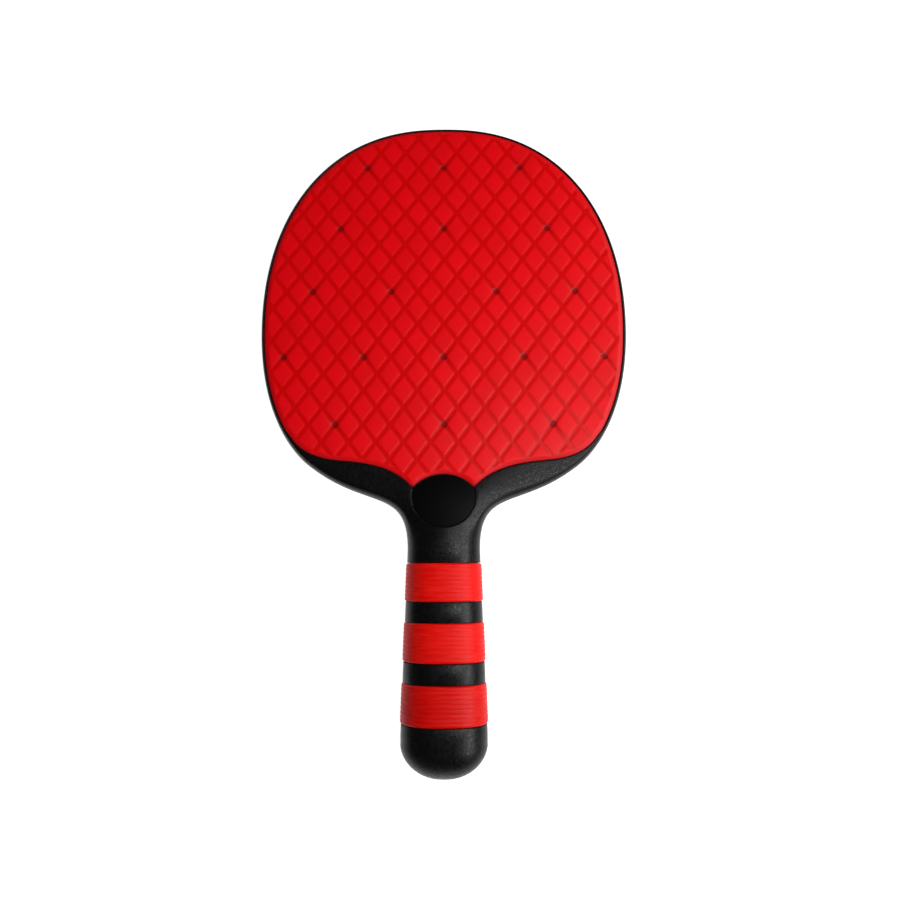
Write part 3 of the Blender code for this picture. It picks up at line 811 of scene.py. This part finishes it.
def moulded_elastomer(settings):
    """Thermoplastic elastomer, injection moulded on the shell.

    The eye sees an even saturated red with a soft satin sheen. The grooves, which nothing rubs, are smoother,
    with a darker red painted at their bottom as shade. The bevel round the edge is a duller red, and the pits
    are matt, with a dark red painted at their bottom as shade.
    """
    material, add, place = new_material("moulded_elastomer")
    cloud = add("ShaderNodeTexNoise", place, {"Scale": per_millimetres(14.0), "Detail": 3.0})
    # The skin's own texture is about 0.05 mm across and is drawn at 0.6 mm, so that it shows at all.
    fine = {"Scale": per_millimetres(0.6), "Detail": 2.0, "Roughness": 0.6}
    skin = add("ShaderNodeTexNoise", place, fine).outputs["Fac"]
    groove = add("ShaderNodeAttribute", attribute_name="groove").outputs["Fac"]
    pit = add("ShaderNodeAttribute", attribute_name="pit").outputs["Fac"]
    border = add("ShaderNodeAttribute", attribute_name="from_edge").outputs["Fac"]
    tones = {"A": opaque(settings.colour), "B": opaque(settings.light_colour)}
    tone = add("ShaderNodeMix", {"Factor": cloud.outputs["Fac"]}, tones, data_type="RGBA")
    in_groove = add("ShaderNodeMapRange", {"Value": groove}, {"From Min": 0.1, "From Max": 0.9})
    span = {"From Min": 0.0002, "From Max": settings.chamfer_width, "To Min": 0.8, "To Max": 0.0}
    on_bevel = add("ShaderNodeMapRange", {"Value": border}, span)
    layers = (
        # Painted shade: the bottoms of the grooves are mixed towards a darker red.
        (in_groove.outputs["Result"], settings.groove_shade_colour),
        # The bevel round each pad's edge is mixed towards a duller, darker red.
        (on_bevel.outputs["Result"], settings.border_colour),
        # Painted shade: the pits are mixed towards a dark red at their bottom.
        (pit, settings.pit_shade_colour),
    )
    for share, colour in layers:
        links = {"Factor": share, "A": tone.outputs["Result"]}
        tone = add("ShaderNodeMix", links, {"B": opaque(colour)}, data_type="RGBA")
    span = {**NOISE_RANGE, "To Min": settings.roughness - 0.04, "To Max": settings.roughness + 0.04}
    roughness = add("ShaderNodeMapRange", {"Value": skin}, span)
    # Only the very bottom of a groove is smoother, so that its slopes give no white lines.
    span = {"From Min": 0.55, "From Max": 1.0, "To Min": 0.0, "To Max": -0.12}
    polish = add("ShaderNodeMapRange", {"Value": groove}, span)
    terms = {0: roughness.outputs["Result"], 1: polish.outputs["Result"]}
    polished = add("ShaderNodeMath", terms, operation="ADD", use_clamp=True)
    terms = {0: pit, 2: polished.outputs["Value"]}
    matt_pits = add("ShaderNodeMath", terms, {1: 0.15}, operation="MULTIPLY_ADD", use_clamp=True)
    relief = add("ShaderNodeBump", {"Height": skin}, {"Strength": 0.25, "Distance": 0.00002})
    surface = {
        "Base Color": tone.outputs["Result"],
        "Roughness": matt_pits.outputs["Value"],
        "Normal": relief.outputs["Normal"],
    }
    shader = add("ShaderNodeBsdfPrincipled", surface, {"IOR": 1.29, "Metallic": 0.0})
    add("ShaderNodeOutputMaterial", {"Surface": shader.outputs["BSDF"]})
    return material


def ribbed_elastomer(settings):
    """Softer elastomer of the bands, moulded with fine ribs.

    The eye sees a warmer red than the pads, with lighter streaks along the ribs that are painted sheen. The
    bands are painted darker towards the butt as shade, so that the lowest band is the darkest.
    """
    material, add, place = new_material("ribbed_elastomer")
    along_ribs = add("ShaderNodeMapping", place, {"Scale": (0.12, 1.0, 0.5)})
    streaky = {"Scale": per_millimetres(1.1), "Detail": 3.0, "Roughness": 0.65}
    streaky_sheen = add("ShaderNodeTexNoise", {"Vector": along_ribs.outputs["Vector"]}, streaky).outputs["Fac"]
    streak = add("ShaderNodeMapRange", {"Value": streaky_sheen}, {"From Min": 0.35, "From Max": 0.65})
    # Painted sheen: the red is lighter along the streaks, which the roughness follows too.
    tones = {"A": opaque(settings.colour), "B": opaque(settings.light_colour)}
    tone = add("ShaderNodeMix", {"Factor": streak.outputs["Result"]}, tones, data_type="RGBA")
    axes = add("ShaderNodeSeparateXYZ", place)
    # The racket's middle is at y = 0, so the lowest band is this far from it.
    lowest = LOWEST_BAND - LENGTH / 2
    # Painted shade: the bands are mixed towards a darker red towards the butt, most on the lowest band.
    span = {"From Min": lowest, "From Max": lowest + BAND_PITCH, "To Min": settings.butt_shade_share, "To Max": 0.0}
    broad_change = add("ShaderNodeMapRange", {"Value": axes.outputs["Y"]}, span)
    links = {"Factor": broad_change.outputs["Result"], "A": tone.outputs["Result"]}
    shaded = add("ShaderNodeMix", links, {"B": opaque(settings.butt_shade_colour)}, data_type="RGBA")
    span = {"To Min": settings.roughness - 0.12, "To Max": settings.roughness + 0.08}
    roughness = add("ShaderNodeMapRange", {"Value": streak.outputs["Result"]}, span)
    relief = add("ShaderNodeBump", {"Height": streaky_sheen}, {"Strength": 0.6, "Distance": 0.00007})
    surface = {
        "Base Color": shaded.outputs["Result"],
        "Roughness": roughness.outputs["Result"],
        "Normal": relief.outputs["Normal"],
    }
    shader = add("ShaderNodeBsdfPrincipled", surface, {"IOR": 1.29, "Metallic": 0.0})
    add("ShaderNodeOutputMaterial", {"Surface": shader.outputs["BSDF"]})
    return material


def soft_touch_badge_plastic(settings):
    """Thin polycarbonate badge with a soft-touch lacquer.

    The eye sees a deep even black with hardly any sheen, which no highlight crosses.
    """
    material, add, place = new_material("soft_touch_badge_plastic")
    fine = {"Scale": per_millimetres(0.7), "Detail": 2.0, "Roughness": 0.5}
    lacquer = add("ShaderNodeTexNoise", place, fine).outputs["Fac"]
    span = {**NOISE_RANGE, "To Min": settings.roughness - 0.03, "To Max": settings.roughness + 0.03}
    roughness = add("ShaderNodeMapRange", {"Value": lacquer}, span)
    relief = add("ShaderNodeBump", {"Height": lacquer}, {"Strength": 0.2, "Distance": 0.00002})
    surface = {"Roughness": roughness.outputs["Result"], "Normal": relief.outputs["Normal"]}
    plain = {"Base Color": opaque(settings.colour), "IOR": 1.15, "Metallic": 0.0}
    shader = add("ShaderNodeBsdfPrincipled", surface, plain)
    add("ShaderNodeOutputMaterial", {"Surface": shader.outputs["BSDF"]})
    return material


def opal_acrylic(settings):
    """Matt opal acrylic of a light table: to the eye, an even white glow that swallows the shadow."""
    material, add, place = new_material("opal_acrylic")
    cloud = add("ShaderNodeTexNoise", place, {"Scale": per_millimetres(4.0), "Detail": 4.0})
    span = {**NOISE_RANGE, "To Min": 0.88, "To Max": 0.94}
    roughness = add("ShaderNodeMapRange", {"Value": cloud.outputs["Fac"]}, span)
    glow = {
        "Base Color": opaque(settings.floor_colour),
        "IOR": 1.3,
        "Emission Color": (1.0, 1.0, 1.0, 1.0),
        "Emission Strength": settings.floor_glow,
    }
    shader = add("ShaderNodeBsdfPrincipled", {"Roughness": roughness.outputs["Result"]}, glow)
    add("ShaderNodeOutputMaterial", {"Surface": shader.outputs["BSDF"]})
    return material


def colour_property(name, description, hex_code):
    limits = {"min": 0.0, "max": 1.0, "default": linear_colour(hex_code)}
    return FloatVectorProperty(name=name, description=description, subtype="COLOR", **limits)


def share_property(name, description, low, high, default):
    limits = {"min": low, "max": high, "default": default}
    return FloatProperty(name=name, description=description, subtype="FACTOR", **limits)


def length_property(name, description, low, high, default):
    limits = {"min": low, "max": high, "default": default, "precision": 5}
    return FloatProperty(name=name, description=description, unit="LENGTH", subtype="DISTANCE", **limits)


def power_property(name, description, default):
    limits = {"min": 0.0, "max": 100.0, "default": default}
    return FloatProperty(name=name, description=description, unit="POWER", **limits)


class ShellSettings(bpy.types.PropertyGroup):
    colour: colour_property("Shell colour", "Colour of the moulded shells", "050506")
    light_colour: colour_property("Mottle colour", "Colour of the lightest parts of the shells", "0A0A0B")
    roughness: share_property("Roughness", "Mean roughness of the shells", 0.1, 0.9, 0.36)
    grain_size: FloatProperty(
        name="Grain size (mm)", description="Width of the grain as it is drawn", min=0.2, max=2.0, default=0.6
    )
    lip: length_property("Lip radius", "Rounding of the shells' inner edges", 0.0001, 0.0004, 0.0003)


class PadSettings(bpy.types.PropertyGroup):
    colour: colour_property("Pad colour", "Colour of the playing pads", "DE0008")
    light_colour: colour_property("Cloud colour", "Colour of the lightest parts of the pads", "FE0012")
    # Painted shade at the bottom of the grooves.
    groove_shade_colour: colour_property("Groove shade colour", "Colour at the bottom of the grooves", "DA0002")
    border_colour: colour_property("Border colour", "Colour of the bevel round each pad", "B81014")
    # Painted shade at the bottom of the pits.
    pit_shade_colour: colour_property("Pit shade colour", "Colour at the bottom of the pits", "840002")
    roughness: share_property("Roughness", "Mean roughness of the pads", 0.1, 0.9, 0.45)
    groove_width: length_property("Groove width", "Width of the pattern's grooves", 0.0008, 0.003, 0.0020)
    groove_depth: length_property("Groove depth", "Depth of the pattern's grooves", 0.0001, 0.001, 0.00014)
    chamfer_width: length_property("Bevel width", "Width of the bevel round each pad", 0.0016, 0.0022, 0.0019)
    chamfer_drop: length_property("Bevel drop", "How far the bevel falls to the edge", 0.0, 0.001, 0.0006)
    pit_radius: length_property("Pit radius", "Radius of the pits", 0.0005, 0.002, 0.0019)
    pit_depth: length_property("Pit depth", "Depth of the pits", 0.0002, 0.0016, 0.0004)


class BandSettings(bpy.types.PropertyGroup):
    colour: colour_property("Band colour", "Colour of the grip bands", "E40401")
    # Painted sheen streaks along the ribs.
    light_colour: colour_property("Sheen streak colour", "Colour of the bloom on the ribs", "F41205")
    roughness: share_property("Roughness", "Mean roughness of the bands", 0.1, 0.9, 0.5)
    # Painted shade that darkens the bands towards the butt.
    butt_shade_colour: colour_property("Butt shade colour", "Colour of the painted shade towards the butt", "B00000")
    butt_shade_share: share_property("Butt shade", "Share of the soiled colour on the lowest band", 0.0, 1.0, 0.42)
    ribs: IntProperty(name="Ribs", description="Number of ribs on each band", min=4, max=12, default=9)
    crest: length_property("Rib height", "How far the ribs stand out of the grip", 0.0002, 0.0006, BAND_CREST)


class BadgeSettings(bpy.types.PropertyGroup):
    colour: colour_property("Badge colour", "Colour of the bare throat badge", "040405")
    roughness: share_property("Roughness", "Mean roughness of the badge", 0.1, 0.9, 0.45)
    edge_radius: length_property("Edge radius", "Rounding of the badge's edge", 0.00005, 0.0004, 0.00015)


class StageSettings(bpy.types.PropertyGroup):
    floor_colour: colour_property("Floor colour", "Colour of the opal sheet under the racket", "989898")
    floor_glow: FloatProperty(
        name="Floor glow", description="How brightly the light table shines", min=0.0, max=2.0, default=1.0
    )
    floor_size: length_property("Floor size", "Side of the square floor", 1.0, 12.0, 6.0)
    strip_power: power_property("Strip power", "Power of the long softbox on the right", 6.3)
    near_power: power_property("Near power", "Power of the small softbox close over the grip", 0.28)
    low_power: power_property("Low power", "Power of the softbox beyond the butt", 0.25)
    ambient: FloatProperty(
        name="Ambient", description="Strength of the light all round", min=0.0, max=2.0, default=0.05
    )


def settings_of(context, piece):
    return getattr(context.scene, f"racket_{piece}")


class RACKET_OT_add_shells(bpy.types.Operator):
    """Adds the two moulded black shells"""

    bl_idname = "racket.add_shells"
    bl_label = "Shells"

    def execute(self, context):
        settings = settings_of(context, "shells")
        material = spark_textured_abs(settings)
        for side, placing in (("front", LYING), ("rear", TURNED_OVER)):
            shell = draw_shell(settings.lip, with_pocket=side == "front")
            add_piece(f"{side}_shell_moulding", shell, placing, material, f"{side}_shell")
            shell.free()
        return {"FINISHED"}


class RACKET_OT_add_pads(bpy.types.Operator):
    """Adds the two soft red pads with their diamond pattern"""

    bl_idname = "racket.add_pads"
    bl_label = "Pads"

    def execute(self, context):
        settings = settings_of(context, "pads")
        material = moulded_elastomer(settings)
        pad = draw_pad(settings)
        for side, placing in (("front", LYING), ("rear", TURNED_OVER)):
            add_piece(f"{side}_soft_pad", pad, placing, material, f"{side}_pad")
        pad.free()
        return {"FINISHED"}


class RACKET_OT_add_bands(bpy.types.Operator):
    """Adds the three ribbed red bands round the grip"""

    bl_idname = "racket.add_bands"
    bl_label = "Grip bands"

    def execute(self, context):
        settings = settings_of(context, "bands")
        material = ribbed_elastomer(settings)
        for place, centre in zip(("lower", "middle", "upper"), BAND_CENTRES):
            band = draw_band(centre, settings.ribs, settings.crest)
            add_piece(f"{place}_ribbed_band", band, LYING, material, f"{place}_grip_band")
            band.free()
        return {"FINISHED"}


class RACKET_OT_add_badge(bpy.types.Operator):
    """Adds the bare round badge at the throat"""

    bl_idname = "racket.add_badge"
    bl_label = "Throat badge"

    def execute(self, context):
        settings = settings_of(context, "badge")
        material = soft_touch_badge_plastic(settings)
        badge = draw_badge(settings.edge_radius)
        add_piece("bare_throat_badge", badge, LYING, material, "throat_badge")
        badge.free()
        return {"FINISHED"}


def add_softbox(name, place, width, height, power):
    """A rectangular area light that faces the racket's middle."""
    light = bpy.data.lights.new(name, "AREA")
    light.shape = "RECTANGLE"
    light.size = width
    light.size_y = height
    light.energy = power
    softbox = add_object(name, light)
    softbox.location = place
    softbox.rotation_euler = Vector(place).to_track_quat("Z", "Y").to_euler()


class RACKET_OT_add_stage(bpy.types.Operator):
    """Adds the light table, the softboxes and the camera"""

    bl_idname = "racket.add_stage"
    bl_label = "Stage"

    def execute(self, context):
        settings = settings_of(context, "stage")
        scene = context.scene
        builder = bmesh.new()
        bmesh.ops.create_grid(builder, x_segments=1, y_segments=1, size=settings.floor_size / 2)
        mesh = bpy.data.meshes.new("light_table")
        builder.to_mesh(mesh)
        builder.free()
        mesh.materials.append(opal_acrylic(settings))
        add_object("light_table", mesh)

        for name, (place, width, height) in SOFTBOXES.items():
            add_softbox(f"{name}_softbox", place, width, height, getattr(settings, f"{name}_power"))

        world = bpy.data.worlds.new("studio")
        world.use_nodes = True
        background = world.node_tree.nodes["Background"]
        background.inputs["Color"].default_value = (1.0, 1.0, 1.0, 1.0)
        background.inputs["Strength"].default_value = settings.ambient
        scene.world = world
        scene.view_settings.view_transform = "Standard"

        lens = bpy.data.cameras.new("camera")
        lens.lens = CAMERA_LENS
        lens.sensor_width = SENSOR_WIDTH
        lens.clip_start = NEAREST_SEEN
        turn = Matrix.Identity(4)
        for axis, degrees in CAMERA_TURNS.items():
            turn = turn @ Matrix.Rotation(math.radians(degrees), 4, axis)
        scene.camera = add_object("camera", lens)
        scene.camera.matrix_world = LYING @ Matrix.Translation(CAMERA_PLACE) @ turn
        return {"FINISHED"}


class RACKET_PT_panel(bpy.types.Panel):
    """Lists the racket's pieces, with their sizes and colours"""

    bl_idname = "RACKET_PT_panel"
    bl_label = "Table Tennis Racket"
    bl_space_type = "VIEW_3D"
    bl_region_type = "UI"
    bl_category = "Racket"

    def draw(self, context):
        for piece, operator in OPERATORS.items():
            box = self.layout.box()
            box.operator(operator.bl_idname)
            settings = settings_of(context, piece)
            for name in settings.__annotations__:
                box.prop(settings, name)


SETTINGS = {
    "shells": ShellSettings,
    "pads": PadSettings,
    "bands": BandSettings,
    "badge": BadgeSettings,
    "stage": StageSettings,
}
OPERATORS = {
    "shells": RACKET_OT_add_shells,
    "pads": RACKET_OT_add_pads,
    "bands": RACKET_OT_add_bands,
    "badge": RACKET_OT_add_badge,
    "stage": RACKET_OT_add_stage,
}
CLASSES = (*SETTINGS.values(), *OPERATORS.values(), RACKET_PT_panel)


def register():
    for item in CLASSES:
        bpy.utils.register_class(item)
    for piece, group in SETTINGS.items():
        setattr(bpy.types.Scene, f"racket_{piece}", PointerProperty(type=group))


def unregister():
    for piece in SETTINGS:
        delattr(bpy.types.Scene, f"racket_{piece}")
    for item in reversed(CLASSES):
        bpy.utils.unregister_class(item)


def main():
    register()
    bpy.ops.racket.add_shells()
    bpy.ops.racket.add_pads()
    bpy.ops.racket.add_bands()
    bpy.ops.racket.add_badge()
    bpy.ops.racket.add_stage()


if __name__ == "__main__":
    main()
